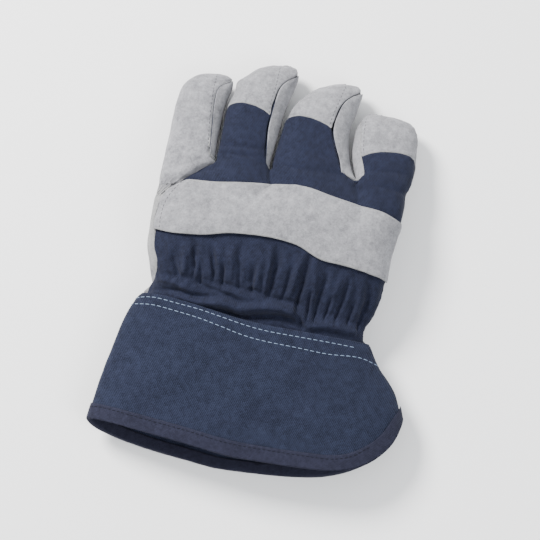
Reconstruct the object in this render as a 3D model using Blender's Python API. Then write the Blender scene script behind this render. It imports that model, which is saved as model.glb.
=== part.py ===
import math

import bmesh
import bpy
import numpy as np

# Sizes in metres. The glove lies on its palm with its fingers along +Y and its little finger at +X.
GLOVE_LENGTH = 0.260
GLOVE_WIDTH = 0.196
GLOVE_HEIGHT = 0.044
LEATHER_WALL = 0.0024
CLOTH_WALL = 0.0024
CUFF_WALL = 0.0024
STRAP_THICKNESS = 0.0014
BINDING_THICKNESS = 0.0009
BINDING_REACH = 0.0088
PIECE_GAP = 0.0005
GATHER_DEPTH = 0.0026
GATHER_WIDTH = 0.0023
FINGER_GAP = 0.0014
CUFF_LAP = 0.0095
TIP_FLAT = 0.0024
CAP_BOW = 0.0057

# How boxy each cross-section is: 2 is an ellipse, more is squarer.
BODY_POWER = 2.6
FINGER_POWER = 2.4
CUFF_POWER = 2.3
THUMB_POWER = 2.5
# Degrees of turn at a finger ring's side where it runs into the next finger, and where its side strip
# meets the palm.
CROTCH_DEGREES = 21.6
STRIP_DEGREES = 37.2

# Counts of faces along each piece.
TOP_COLUMNS = 13
INDEX_COLUMNS = 12
UNDER_COLUMNS = 6
SIDE_COLUMNS = 3
CUFF_COLUMNS = 44
CUFF_ROWS = 5
BODY_ROWS = 12
LAST_SIDE_ROW = 7
HOLE_ROWS = (5, 10)
HOLE_COLUMNS = (5, 11)
HEEL_COLUMN = 16
HEEL_ROWS = 4

# Shares of the glove's length (y), width (x) and height (z) in every table below.
CROTCH_Y = 0.7298
WRIST_MARGIN = 0.0120
BLEND_Y = 0.6060
BODY = {  # outline of the hand part and its heights over the surface it lies on
    "y": [
        0.2458, 0.3358, 0.3771, 0.4109, 0.4409, 0.4784, 0.5310, 0.5835, 0.6398, 0.6886, 0.7111,
        0.7298,
    ],
    "left": [
        -0.4154, -0.3955, -0.3806, -0.3607, -0.3582, -0.3706, -0.3856, -0.3856, -0.3831,
        -0.3806, -0.3796, -0.3781,
    ],
    "right": [
        0.3706, 0.3532, 0.3483, 0.3582, 0.3657, 0.3731, 0.3881, 0.3995, 0.4119, 0.4184, 0.4134,
        0.4254,
    ],
    "top":    [0.659, 0.670, 0.705, 0.750, 0.818, 0.886, 0.943, 0.955, 0.920, 0.818, 0.773, 0.739],
    "bottom": [0.091, 0.091, 0.091, 0.102, 0.125, 0.159, 0.205, 0.239, 0.239, 0.216, 0.205, 0.193],
}
BACK_EDGE = {  # where the leather that wraps the thumb side ends on the back
    "y": [0.2458, 0.4109, 0.4296, 0.4522, 0.4897, 0.5310, 0.5760, 0.6135, 0.6698, 0.7073, 0.7298],
    "x": [
        -0.5100, -0.5100, -0.3557, -0.3333, -0.3507, -0.3657, -0.3647, -0.3557, -0.2935,
        -0.2413, -0.2090,
    ],
}
CROTCHES = [-0.2090, -0.0323, 0.2512]
FINGERS = {  # share of the finger's length from the crotch, its two sides and the seam on its back
    "index": {
        "tip_x": -0.2512, "tip_y": 0.9568, "cap_y": 0.8612,
        "shoulder_y": (0.8687, 0.8987), "round": (2.2, 2.2),
        "y":     [0.7598, 0.8086, 0.8649, 0.9212],
        "left":  [-0.3756, -0.3731, -0.3682, -0.3657],
        "right": [-0.2065, -0.2040, -0.2015, -0.1965],
        "seam":  [-0.2313, -0.2363, -0.2413, -0.2438],
    },
    "middle": {
        "tip_x": -0.0373, "tip_y": 1.0000, "cap_y": 0.8612,
        "shoulder_y": (0.8537, 0.9212), "round": (2.0, 2.2),
        "y":     [0.7598, 0.8086, 0.8649, 0.9212],
        "left":  [-0.2129, -0.2090, -0.2040, -0.2015],
        "right": [-0.0214, -0.0149, -0.0050, 0.0050],
        "seam":  [-0.0473, -0.0572, -0.0522, -0.0423],
    },
    "ring": {
        "tip_x": 0.1816, "tip_y": 0.9756, "cap_y": 0.8499,
        "shoulder_y": (0.8386, 0.9062), "round": (1.85, 2.2),
        "y":     [0.7598, 0.7936, 0.8462, 0.9062],
        "left":  [-0.0274, -0.0224, -0.0124, -0.0075],
        "right": [0.2338, 0.2224, 0.2179, 0.2164],
        "seam":  [0.1965, 0.1741, 0.1493, 0.1667],
    },
    "little": {
        "tip_x": 0.2910, "tip_y": 0.9118, "cap_y": 0.7899,
        "shoulder_y": (0.8386, 0.7936), "round": (2.3, 2.6),
        "y":     [0.7598, 0.7936, 0.8311, 0.8687],
        "left":  [0.2338, 0.2214, 0.2179, 0.2214],
        "right": [0.4328, 0.4353, 0.4318, 0.4303],
        "seam":  [0.2687, 0.2512, 0.2438, 0.2438],
    },
}
FINGER_SIDE = {  # heights along a finger, by share of its length
    "share":  [0.0, 0.25, 0.5, 0.75, 1.0],
    "middle": [0.466, 0.375, 0.307, 0.273, 0.239],
    "half":   [0.273, 0.286, 0.295, 0.282, 0.264],
}
TIP_ROUND_FROM = 0.62
THUMB = {  # from its base seam to its tip, by distance along it as a share of the glove's length
    "along": [0.1351, 0.1764, 0.2251, 0.2814, 0.3377, 0.3827, 0.4203, 0.4522, 0.4784, 0.4934],
    "half":  [0.1313, 0.1238, 0.1163, 0.1099, 0.1043, 0.0976, 0.0871, 0.0683, 0.0413, 0.0169],
    "top":   [0.368, 0.368, 0.364, 0.359, 0.350, 0.341, 0.327, 0.305, 0.264, 0.214],
}
THUMB_START = (-0.3458, 0.4597)
THUMB_END = (0.2662, 0.6248)
THUMB_OFFSET = 0.0075
THUMB_SKIRT = 0.0113  # how far past the thumb's sides the palm stays over it
THUMB_BASE = {  # rings from the hole in the palm into the thumb: the lip, the far side, half width
    "lip_along": [0.1051, 0.1088, 0.1144, 0.1220],
    "lip_z":     [0.373, 0.361, 0.364, 0.366],
    "far_along": [-0.0188, -0.0206, 0.0038, 0.0638],
    "far_z":     [0.414, 0.205, 0.023, -0.034],
    "half":      [0.0976, 0.1088, 0.1201, 0.1295],
}
STRAP_MIDDLE = 0.5797
STRAP = {  # the knuckle strap's two edges across the back
    "x":     [-0.3657, -0.3010, -0.2164, -0.1169, -0.0174, 0.0821, 0.1716, 0.2413, 0.3308, 0.4204],
    "upper": [0.6135, 0.6642, 0.6642, 0.6735, 0.6829, 0.6867, 0.6717, 0.6623, 0.6529, 0.6323],
    "lower": [0.5366, 0.5302, 0.5328, 0.5471, 0.5497, 0.5415, 0.5122, 0.5084, 0.4983, 0.4841],
}
# Where the back's rows of faces lie between the crotches and the wrist.
CLOTH_ROWS = [
    0.7129, 0.6904, 0.6585, 0.6210, 0.5760, 0.5347, 0.5122, 0.4859, 0.4597, 0.4353, 0.4128,
]
GATHERS = [
    -0.2711, -0.2264, -0.1816, -0.1368, -0.0871, -0.0423, 0.0274, 0.0721, 0.1219, 0.1816,
    0.2214, 0.2562, 0.2910, 0.3308,
]
GATHER_ZONE = (0.3921, 0.4259, 0.4859, 0.5272)
CUFF = {
    "y":      [-0.0094, 0.0732, 0.1632, 0.2158, 0.2533, 0.2908, 0.3283, 0.3583, 0.3884],
    "left":   [-0.5025, -0.4950, -0.4776, -0.4627, -0.4502, -0.4378, -0.4254, -0.4129, -0.3980],
    "right":  [0.5000, 0.5000, 0.4975, 0.4776, 0.4502, 0.4154, 0.3856, 0.3706, 0.3657],
    "top":    [0.682, 0.693, 0.716, 0.727, 0.727, 0.727, 0.739, 0.761, 0.795],
    "bottom": [0.040, 0.040, 0.082, 0.109, 0.127, 0.141, 0.155, 0.164, 0.173],
}
CUFF_EDGES = {  # around the cuff by angle from the little finger's side, on the back and on the palm
    "angle": [0.0, 0.1, 0.2, 0.4, 0.574, 0.78, 0.976, 1.4, 1.65, 1.92, 2.26, 2.7, math.pi],
    "back": [
        0.1707, 0.1625, 0.1370, 0.0957, 0.0657, 0.0356, 0.0225, 0.0206, 0.0244, 0.0394, 0.0544,
        0.0675, 0.0713,
    ],
    "palm": [
        0.1707, 0.1625, 0.1370, 0.0957, 0.0657, 0.0356, 0.0131, 0.0000, 0.0008, 0.0169, 0.0356,
        0.0563, 0.0713,
    ],
    "back_top": [
        0.3358, 0.3358, 0.3358, 0.3358, 0.3358, 0.3366, 0.3377, 0.3415, 0.3471, 0.3602, 0.3734,
        0.3809, 0.3809,
    ],
    "palm_top": [
        0.3358, 0.3358, 0.3358, 0.3358, 0.3358, 0.3358, 0.3358, 0.3358, 0.3358, 0.3433, 0.3527,
        0.3621, 0.3809,
    ],
}
HEEL = {  # lower edge of the leather heel where it laps the cuff, by the cuff's angle on the palm
    "angle": [0.0, 0.2, 0.45, 0.75, 1.0, 1.3, 1.55, 1.8],
    "y":     [0.2383, 0.2083, 0.1782, 0.1689, 0.1670, 0.1745, 0.1932, 0.2233],
}
HEEL_END = 0.25
# How much of the bow of a fingertip cap's edge each row of faces near it has.
CAP_BOW_ROWS = {3: 0.5, 4: 1.0, 5: 0.6, 6: 0.25}

COLOURS = {  # base colour, roughness
    "leather": ((0.60, 0.60, 0.63), 0.92),
    "cloth": ((0.022, 0.036, 0.090), 0.85),
    "hem": ((0.020, 0.026, 0.062), 0.85),
}


def along(knots, values, at):
    """A smooth curve through a table's values that never overshoots them."""
    knots, values = np.asarray(knots, float), np.asarray(values, float)
    step = np.diff(knots)
    slope = np.diff(values) / step
    tangent = np.concatenate([slope[:1], np.zeros(len(slope) - 1), slope[-1:]])
    same = slope[:-1] * slope[1:] > 0
    tangent[1:-1][same] = 2 * (slope[:-1] * slope[1:])[same] / (slope[:-1] + slope[1:])[same]
    at = np.clip(at, knots[0], knots[-1])
    i = int(np.clip(np.searchsorted(knots, at) - 1, 0, len(step) - 1))
    t = (at - knots[i]) / step[i]
    return float(
        values[i] * (1 + 2 * t) * (1 - t) ** 2
        + values[i + 1] * t * t * (3 - 2 * t)
        + step[i] * t * (1 - t) * (tangent[i] * (1 - t) - tangent[i + 1] * t)
    )


def ease(t):
    t = min(max(t, 0.0), 1.0)
    return t * t * (3 - 2 * t)


def mix(a, b, t):
    return a + (b - a) * t


def ring_point(angle, power):
    """Across and up on a unit ring of the given squareness."""
    across = math.cos(angle)
    up = max(0.0, 1 - abs(across) ** power) ** (1 / power)
    return across, math.copysign(up, math.sin(angle))


def across_of(angle_x, middle, half):
    return math.acos(min(max((angle_x - middle) / half, -1.0), 1.0))


def body_ring(y):
    left = along(BODY["y"], BODY["left"], y / GLOVE_LENGTH) * GLOVE_WIDTH
    right = along(BODY["y"], BODY["right"], y / GLOVE_LENGTH) * GLOVE_WIDTH
    top = along(BODY["y"], BODY["top"], y / GLOVE_LENGTH) * GLOVE_HEIGHT
    bottom = along(BODY["y"], BODY["bottom"], y / GLOVE_LENGTH) * GLOVE_HEIGHT
    return (left + right) / 2, (right - left) / 2, (top + bottom) / 2, (top - bottom) / 2


def cuff_point(y, angle, depth):
    share = y / GLOVE_LENGTH
    left, right = (along(CUFF["y"], CUFF[side], share) * GLOVE_WIDTH for side in ("left", "right"))
    top, bottom = (along(CUFF["y"], CUFF[side], share) * GLOVE_HEIGHT for side in ("top", "bottom"))
    across, up = ring_point(angle, CUFF_POWER)
    x = (left + right) / 2 + ((right - left) / 2 - depth) * across
    return np.array([x, y, (top + bottom) / 2 + ((top - bottom) / 2 - depth) * up])


def cuff_edge(edge, angle):
    """Where an edge of the cuff runs, all the way round from the little finger's side."""
    angle = angle % (2 * math.pi)
    on_back = angle <= math.pi
    column = {"mouth": ("palm", "back"), "top": ("palm_top", "back_top")}[edge][on_back]
    turned = angle if on_back else 2 * math.pi - angle
    return along(CUFF_EDGES["angle"], CUFF_EDGES[column], turned) * GLOVE_LENGTH


def thumb_frame():
    start = np.array([THUMB_START[0] * GLOVE_WIDTH, THUMB_START[1] * GLOVE_LENGTH])
    end = np.array([THUMB_END[0] * GLOVE_WIDTH, THUMB_END[1] * GLOVE_LENGTH])
    axis = (end - start) / np.linalg.norm(end - start)
    side = np.array([-axis[1], axis[0]])
    return start + side * THUMB_OFFSET * GLOVE_LENGTH, axis, side


def thumb_top(x, y):
    """Height of the thumb's upper face under the palm, falling away past its sides."""
    start, axis, side = thumb_frame()
    offset = np.array([x, y]) - start
    share = float(offset @ axis) / GLOVE_LENGTH
    base = THUMB_BASE
    knots = [base["far_along"][0], base["lip_along"][0]] + THUMB["along"]
    tops = [base["far_z"][0], base["lip_z"][0]] + THUMB["top"]
    halves = [base["half"][1], base["half"][3]] + THUMB["half"]
    half = (along(knots, halves, share) + THUMB_SKIRT) * GLOVE_LENGTH
    top = along(knots, tops, share) * GLOVE_HEIGHT
    beyond = max(0.0, share - knots[-1], knots[0] - share) * GLOVE_LENGTH
    sideways = abs(float(offset @ side))
    up = max(0.0, 1 - min(sideways / half, 1.0) ** (2 * THUMB_POWER)) ** (0.5 / THUMB_POWER)
    fade = math.hypot(max(0.0, sideways - half), beyond) / (0.035 * GLOVE_LENGTH)
    return top * (0.6 + 0.4 * up) * math.exp(-fade * fade)


def lift_over_thumb(point, depth):
    """Lays the palm's underside over the thumb."""
    floor = thumb_top(point[0], point[1]) + 2 * PIECE_GAP + max(depth, 0.0)
    soft = 0.06 * GLOVE_HEIGHT
    raised = 0.5 * (point[2] + floor + math.hypot(point[2] - floor, soft))
    return np.array([point[0], point[1], raised])


def finger_sides(name, y):
    """A finger's two sides and heights at y, from the crotch line to the tip."""
    finger = FINGERS[name]
    order = list(FINGERS).index(name)
    crotch = CROTCH_Y * GLOVE_LENGTH
    middle, half, up_middle, up_half = body_ring(min(y, crotch))
    reach = [1.0, 1.0]
    sides = [middle - half, middle + half]
    if order > 0:
        sides[0], reach[0] = CROTCHES[order - 1] * GLOVE_WIDTH, math.cos(math.radians(CROTCH_DEGREES))
    if order < len(CROTCHES):
        sides[1], reach[1] = CROTCHES[order] * GLOVE_WIDTH, math.cos(math.radians(CROTCH_DEGREES))
    ring_half = (sides[1] - sides[0]) / sum(reach)
    ring_middle = sides[0] + reach[0] * ring_half
    if y <= crotch:
        return ring_middle - ring_half, ring_middle + ring_half, up_middle, up_half
    share = y / GLOVE_LENGTH
    ends = []
    starts = (ring_middle - ring_half, ring_middle + ring_half)
    for start, side, shoulder, power, flat in zip(
        starts, ("left", "right"), finger["shoulder_y"], finger["round"], (-TIP_FLAT, TIP_FLAT)
    ):
        knots = [CROTCH_Y] + finger["y"]
        edge = along(knots, [start / GLOVE_WIDTH] + finger[side], share) * GLOVE_WIDTH
        tip = finger["tip_x"] * GLOVE_WIDTH + flat
        t = min(max((share - shoulder) / (finger["tip_y"] - shoulder), 0.0), 1.0)
        ends.append(tip + (edge - tip) * (1 - t**power) ** (1 / power))
    t = (share - CROTCH_Y) / (finger["tip_y"] - CROTCH_Y)
    up_middle = along(FINGER_SIDE["share"], FINGER_SIDE["middle"], t) * GLOVE_HEIGHT
    up_half = along(FINGER_SIDE["share"], FINGER_SIDE["half"], t) * GLOVE_HEIGHT
    t = min(max((t - TIP_ROUND_FROM) / (1 - TIP_ROUND_FROM), 0.0), 1.0)
    return ends[0], ends[1], up_middle, up_half * (1 - t**2.3) ** (1 / 2.3)


def finger_point(name, y, angle, depth):
    """A point on a finger's ring at y; depth moves it into the wall, and its tip back as much."""
    finger = FINGERS[name]
    order = list(FINGERS).index(name)
    crotch = CROTCH_Y * GLOVE_LENGTH
    left, right, up_middle, up_half = finger_sides(name, y)
    across, up = ring_point(angle, FINGER_POWER)
    full = finger_sides(name, crotch)
    shrink_x = 1 - depth / ((full[1] - full[0]) / 2)
    shrink_z = 1 - depth / full[3]
    x = (left + right) / 2 + (right - left) / 2 * across * shrink_x
    z = up_middle + up_half * up * shrink_z
    place = y
    if y > crotch:
        tip = finger["tip_y"] * GLOVE_LENGTH
        place = crotch + (y - crotch) * (tip - depth - crotch) / (tip - crotch)
        names = list(FINGERS)
        gap = FINGER_GAP * ease((y - crotch) / (0.024 * GLOVE_LENGTH)) / 2 + depth
        if order > 0 and y < FINGERS[names[order - 1]]["tip_y"] * GLOVE_LENGTH:
            x = max(x, (left + finger_sides(names[order - 1], y)[1]) / 2 + gap)
        if order < 3 and y < FINGERS[names[order + 1]]["tip_y"] * GLOVE_LENGTH:
            x = min(x, (right + finger_sides(names[order + 1], y)[0]) / 2 - gap)
    return np.array([x, place, max(z, depth)])


def finger_rows(name):
    """Heights of a finger's rows: the crotch, the cloth's rows, the cap's edge and the tip's rows."""
    cap, tip = FINGERS[name]["cap_y"] * GLOVE_LENGTH, FINGERS[name]["tip_y"] * GLOVE_LENGTH
    crotch = CROTCH_Y * GLOVE_LENGTH
    rows = [crotch, crotch + 0.011 * GLOVE_LENGTH]
    rows += [mix(crotch, cap, share) for share in (0.36, 0.7, 1.0)]
    return rows + [mix(cap, tip, math.sin(math.pi / 2 * i / 5)) for i in range(1, 6)]


def seam_angles(name, row):
    """Angles where a finger's back starts and ends, and where its palm ends on either side."""
    order = list(FINGERS).index(name)
    y = finger_rows(name)[row]
    notch = math.radians(CROTCH_DEGREES)
    left, right = finger_sides(name, y)[:2]
    middle, half = (left + right) / 2, (right - left) / 2
    back_left, back_right = math.pi, 0.0
    palm_left, palm_right = math.pi, 2 * math.pi
    if row > LAST_SIDE_ROW:
        return back_left, back_right, palm_left, palm_right
    share = y / GLOVE_LENGTH
    seam = along(FINGERS[name]["y"], FINGERS[name]["seam"], share) * GLOVE_WIDTH
    narrow = 1.0 if row < LAST_SIDE_ROW else 0.3
    if order > 0:
        back_left = math.pi - notch if row == 0 else math.pi + 0.08 * narrow
        if name == "little" and row > 0:
            back_left = mix(math.pi, across_of(seam, middle, half), narrow)
        palm_left = math.pi + (notch if row == 0 else math.radians(STRIP_DEGREES) * narrow)
    if order < 3:
        back_right = notch if row == 0 else across_of(seam, middle, half) * narrow
        palm_right = 2 * math.pi - (notch if row == 0 else math.radians(STRIP_DEGREES) * narrow)
    return back_left, back_right, palm_left, palm_right


def gather(point):
    """How far the elastic gathers lift the cloth outwards at a point."""
    share = point[1] / GLOVE_LENGTH
    start, full, fade, end = GATHER_ZONE
    window = ease((share - start) / (full - start)) * (1 - ease((share - fade) / (end - fade)))
    if window <= 0:
        return 0.0
    folds = sum(math.exp(-(((point[0] - x * GLOVE_WIDTH) / GATHER_WIDTH) ** 2)) for x in GATHERS)
    return GATHER_DEPTH * window * max(0.0, 1 - folds)


def cloth_point(column, y, depth):
    """A point of the back cloth between wrist and crotches; columns run to the little finger."""
    middle, half, up_middle, up_half = body_ring(y)
    edge = along(BACK_EDGE["y"], BACK_EDGE["x"], y / GLOVE_LENGTH) * GLOVE_WIDTH
    count = 3 * TOP_COLUMNS
    start = across_of(edge, middle, half)
    across, up = ring_point(start * (1 - column / count), BODY_POWER)
    wide = np.array([middle + (half - depth) * across, y, up_middle + (up_half - depth) * up])
    weight = ease((y / GLOVE_LENGTH - BLEND_Y) / (CROTCH_Y - BLEND_Y))
    if weight > 0:
        notch = math.radians(CROTCH_DEGREES)
        points = []
        for order, name in enumerate(("middle", "ring", "little")):
            share = column / TOP_COLUMNS - order
            if -1e-9 <= share <= 1 + 1e-9:
                first, last = math.pi - notch, 0.0 if name == "little" else notch
                points.append(finger_point(name, y, mix(first, last, share), depth))
        hand = sum(points) / len(points)
        slide = (edge - CROTCHES[0] * GLOVE_WIDTH) * max(0.0, 1 - column / TOP_COLUMNS)
        hand = hand + np.array([slide, 0.0, 0.0])
        wide = wide + (hand - wide) * weight
    return wide


def back_point(column, y, depth):
    """The back cloth with its gathers."""
    point = cloth_point(column, y, depth)
    return cloth_point(column, y, depth - gather(point) * (1.0 if depth <= 0 else 0.5))


def palm_angles(y):
    """Angles of the palm's columns on the wide ring, from the back edge round the thumb side."""
    middle, half = body_ring(y)[:2]
    edge = along(BACK_EDGE["y"], BACK_EDGE["x"], y / GLOVE_LENGTH) * GLOVE_WIDTH
    marks = [across_of(edge, middle, half)]
    marks += [2 * math.pi - across_of(x * GLOVE_WIDTH, middle, half) for x in CROTCHES]
    marks.append(2 * math.pi)
    angles = [mix(marks[0], marks[1], i / INDEX_COLUMNS) for i in range(INDEX_COLUMNS)]
    for first, last in zip(marks[1:-1], marks[2:]):
        angles += [mix(first, last, i / UNDER_COLUMNS) for i in range(UNDER_COLUMNS)]
    return angles + [2 * math.pi]


def palm_point(column, y, depth, free=False):
    """A point of the palm leather between the wrist and the crotches."""
    middle, half, up_middle, up_half = body_ring(y)
    across, up = ring_point(palm_angles(y)[column], BODY_POWER)
    point = np.array([middle + (half - depth) * across, y, up_middle + (up_half - depth) * up])
    weight = ease((y / GLOVE_LENGTH - BLEND_Y) / (CROTCH_Y - BLEND_Y))
    if weight > 0:
        notch = math.radians(CROTCH_DEGREES)
        points = []
        if column <= INDEX_COLUMNS:
            share = column / INDEX_COLUMNS
            points.append(finger_point("index", y, mix(notch, 2 * math.pi - notch, share), depth))
        for order, name in enumerate(("middle", "ring", "little")):
            share = (column - INDEX_COLUMNS) / UNDER_COLUMNS - order
            if -1e-9 <= share <= 1 + 1e-9:
                first = math.pi + notch
                last = 2 * math.pi - (0.0 if name == "little" else notch)
                points.append(finger_point(name, y, mix(first, last, share), depth))
        hand = sum(points) / len(points)
        point = point + (hand - point) * weight
    reach = max(0.0, 1 - column / 6) ** 2
    if reach > 0 and not free:
        point = point + (cloth_point(0, y, depth) - palm_point(0, y, depth, True)) * reach
    if point[2] < up_middle:
        point = lift_over_thumb(point, depth)
    return point


class Shell:
    """Collects a thin wall: outer and inner points by key, faces between them and rims."""

    def __init__(self):
        self.outer, self.inner, self.faces = {}, {}, []

    def add(self, key, outer, inner):
        self.outer.setdefault(key, np.array(outer, float))
        self.inner.setdefault(key, np.array(inner, float))

    def face(self, *keys):
        kept = [key for i, key in enumerate(keys) if key != keys[i - 1]]
        self.faces.append(kept)

    def edges(self):
        count = {}
        for face in self.faces:
            for a, b in zip(face, face[1:] + face[:1]):
                count[(a, b)] = count.get((a, b), 0) + 1
        return [edge for edge in count if (edge[1], edge[0]) not in count]

    def pull_in(self, distance, skip=()):
        """Draws every free edge back from its neighbour by a distance."""
        near = {}
        for face in self.faces:
            for key in face:
                near.setdefault(key, set()).update(face)
        rim = {}
        for a, b in self.edges():
            if (a, b) in skip or (b, a) in skip:
                continue
            rim.setdefault(a, []).append(b)
            rim.setdefault(b, []).append(a)
        for side in (self.outer, self.inner):
            moves = {}
            for key, others in rim.items():
                end = side[others[-1]] if len(others) > 1 else side[key]
                along_edge = side[others[0]] - end
                if np.linalg.norm(along_edge) < 1e-9:
                    continue
                along_edge = along_edge / np.linalg.norm(along_edge)
                inner_keys = [other for other in near[key] if other not in rim]
                inward = sum((side[other] - side[key] for other in inner_keys), np.zeros(3))
                if np.linalg.norm(inward) < 1e-9:
                    inward = sum((side[other] - side[key] for other in near[key]), np.zeros(3))
                inward = inward - along_edge * float(inward @ along_edge)
                if np.linalg.norm(inward) > 1e-9:
                    moves[key] = inward / np.linalg.norm(inward) * distance
            for key, move in moves.items():
                side[key] = side[key] + move

    def mesh(self, name):
        keys = list(self.outer)
        used = sorted({keys.index(key) for face in self.faces for key in face})
        keys = [keys[i] for i in used]
        number = {key: i for i, key in enumerate(keys)}
        count = len(keys)
        points = [self.outer[key] for key in keys] + [self.inner[key] for key in keys]
        faces = [[number[key] for key in face] for face in self.faces]
        faces += [[number[key] + count for key in reversed(face)] for face in self.faces]
        for a, b in self.edges():
            faces.append([number[b], number[a], number[a] + count, number[b] + count])
        return make_object(name, points, faces)


def make_object(name, points, faces):
    mesh = bpy.data.meshes.new(name)
    mesh.from_pydata([tuple(point) for point in points], [], [tuple(face) for face in faces])
    work = bmesh.new()
    work.from_mesh(mesh)
    if work.calc_volume(signed=True) < 0:
        bmesh.ops.reverse_faces(work, faces=work.faces)
    work.to_mesh(mesh)
    work.free()
    obj = bpy.data.objects.new(name, mesh)
    bpy.context.scene.collection.objects.link(obj)
    return obj


def palm_rows(column):
    """The y of each of the palm's rows at a column; at the first they meet the back's rows."""
    low = palm_low(column)
    high = CROTCH_Y * GLOVE_LENGTH
    rows = cloth_rows(0)[: BODY_ROWS + 1]
    return [mix(high, low, (high - row) / (high - rows[-1])) for row in rows]


def palm_low(column):
    y = 0.36 * GLOVE_LENGTH
    for _ in range(3):
        angle = palm_angles(y)[column]
        y = cuff_edge("top", angle) + WRIST_MARGIN * GLOVE_LENGTH
    return y


def thumb_rings():
    """Rings of the thumb as centre, along-half, side-half: turning out of the palm, then along it."""
    start, axis, _ = thumb_frame()
    rings = []
    for i in range(len(THUMB_BASE["half"])):
        ends = []
        for end in ("lip", "far"):
            place = start + axis * THUMB_BASE[end + "_along"][i] * GLOVE_LENGTH
            ends.append(np.append(place, THUMB_BASE[end + "_z"][i] * GLOVE_HEIGHT))
        lip, far = ends
        rings.append(((lip + far) / 2, (far - lip) / 2, THUMB_BASE["half"][i] * GLOVE_LENGTH))
    for share, half, top in zip(THUMB["along"], THUMB["half"], THUMB["top"]):
        place = start + axis * share * GLOVE_LENGTH
        rise = top * GLOVE_HEIGHT
        sink = min(1.0, half / THUMB["half"][4])
        low = -0.06 * GLOVE_HEIGHT * sink + rise * 0.3 * (1 - sink)
        up = np.array([0, 0, (low - rise) / 2])
        rings.append((np.append(place, (rise + low) / 2), up, half * GLOVE_LENGTH))
    return rings


def thumb_angles():
    """Angles round a thumb ring that match the corners of the palm's hole."""
    columns, rows = HOLE_COLUMNS[1] - HOLE_COLUMNS[0], HOLE_ROWS[1] - HOLE_ROWS[0]
    angles = []
    corner = -math.pi / 4
    for count in (columns, rows, columns, rows):
        angles += [corner - math.pi / 2 * i / count for i in range(count)]
        corner -= math.pi / 2
    return angles


def thumb_point(ring, angle, depth):
    centre, reach, half = ring
    side = thumb_frame()[2]
    c, s = math.cos(angle), math.sin(angle)
    size = (abs(c) ** THUMB_POWER + abs(s) ** THUMB_POWER) ** (-1 / THUMB_POWER)
    length = np.linalg.norm(reach)
    point = centre + reach * (1 - depth / length) * c * size
    point = point + np.append(side, 0) * (half - depth) * s * size
    point[2] = max(point[2], max(depth, 0.0))
    return point


def hole_loop():
    """Rows and columns round the hole for the thumb, from its far corner at the wrist."""
    (row_a, row_b), (col_a, col_b) = HOLE_ROWS, HOLE_COLUMNS
    loop = [(row_b, col) for col in range(col_a, col_b)]
    loop += [(row, col_b) for row in range(row_b, row_a, -1)]
    loop += [(row_a, col) for col in range(col_b, col_a, -1)]
    return loop + [(row, col_a) for row in range(row_a, row_b)]


def make_palm():
    shell = Shell()
    columns = INDEX_COLUMNS + 3 * UNDER_COLUMNS
    rows = [palm_rows(column) for column in range(columns + 1)]
    marks = [0] + [INDEX_COLUMNS + UNDER_COLUMNS * i for i in range(3)]
    for column in range(columns + 1):
        for row in range(BODY_ROWS + 1):
            y = rows[column][row]
            outer, inner = palm_point(column, y, 0.0), palm_point(column, y, LEATHER_WALL)
            if row == 0 and column in marks:
                outer[1] -= LEATHER_WALL + PIECE_GAP
                inner[1] -= LEATHER_WALL + PIECE_GAP
            shell.add(("body", row, column), outer, inner)
    ring = thumb_rings()[0]
    for (row, column), angle in zip(hole_loop(), thumb_angles()):
        up = np.array([0, 0, 1.0])
        edge = thumb_point(ring, angle, 0.0)
        shell.outer[("body", row, column)] = edge + up * PIECE_GAP
        shell.inner[("body", row, column)] = edge + up * (PIECE_GAP + LEATHER_WALL)
    for row in range(BODY_ROWS):
        for column in range(columns):
            inside = HOLE_ROWS[0] <= row < HOLE_ROWS[1] and HOLE_COLUMNS[0] <= column < HOLE_COLUMNS[1]
            if not inside:
                a, b = ("body", row, column), ("body", row, column + 1)
                c, d = ("body", row + 1, column + 1), ("body", row + 1, column)
                shell.face(a, d, c, b)
    # The heel runs on down over the outside of the cuff.
    for column in range(HEEL_COLUMN, columns + 1):
        angle = palm_angles(rows[column][-1])[column]
        turned = max(2 * math.pi - angle, HEEL_END * (1 + 0.1 * (columns - column)))
        low = along(HEEL["angle"], HEEL["y"], turned) * GLOVE_LENGTH
        high = cuff_edge("top", 2 * math.pi - turned) + PIECE_GAP
        for row in range(1, HEEL_ROWS + 1):
            y = mix(high, low, (row - 1) / (HEEL_ROWS - 1))
            shell.add(
                ("body", BODY_ROWS + row, column),
                cuff_point(y, 2 * math.pi - turned, -(PIECE_GAP + LEATHER_WALL)),
                cuff_point(y, 2 * math.pi - turned, -PIECE_GAP),
            )
    for row in range(BODY_ROWS, BODY_ROWS + HEEL_ROWS):
        for column in range(HEEL_COLUMN, columns):
            a, b = ("body", row, column), ("body", row, column + 1)
            c, d = ("body", row + 1, column + 1), ("body", row + 1, column)
            shell.face(a, d, c, b)
    for order, name in enumerate(FINGERS):
        count = INDEX_COLUMNS if name == "index" else UNDER_COLUMNS
        first = marks[order]
        finger = finger_rows(name)
        for row in range(1, len(finger)):
            _, back_right, palm_left, palm_right = seam_angles(name, row)
            start = back_right if name == "index" else palm_left
            for i in range(count + 1):
                angle = mix(start, palm_right, i / count)
                key = (name, row, i)
                if name == "index" and row == len(finger) - 1:
                    key = (name, row, 0)
                outer = finger_point(name, finger[row], angle, 0.0)
                shell.add(key, outer, finger_point(name, finger[row], angle, LEATHER_WALL))
        for row in range(len(finger) - 1):
            for i in range(count):
                low = [(name, row, i), (name, row, i + 1)]
                if row == 0:
                    low = [("body", 0, first + i), ("body", 0, first + i + 1)]
                high = [(name, row + 1, i), (name, row + 1, i + 1)]
                if name == "index" and row == len(finger) - 2:
                    high = [(name, row + 1, 0), (name, row + 1, 0)]
                shell.face(high[0], low[0], low[1], high[1])
    loop = [("body", row, column) for row, column in hole_loop()]
    hole = set(zip(loop, loop[1:] + loop[:1]))
    shell.pull_in(PIECE_GAP / 2, hole)
    return shell.mesh("palm_leather")


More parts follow.
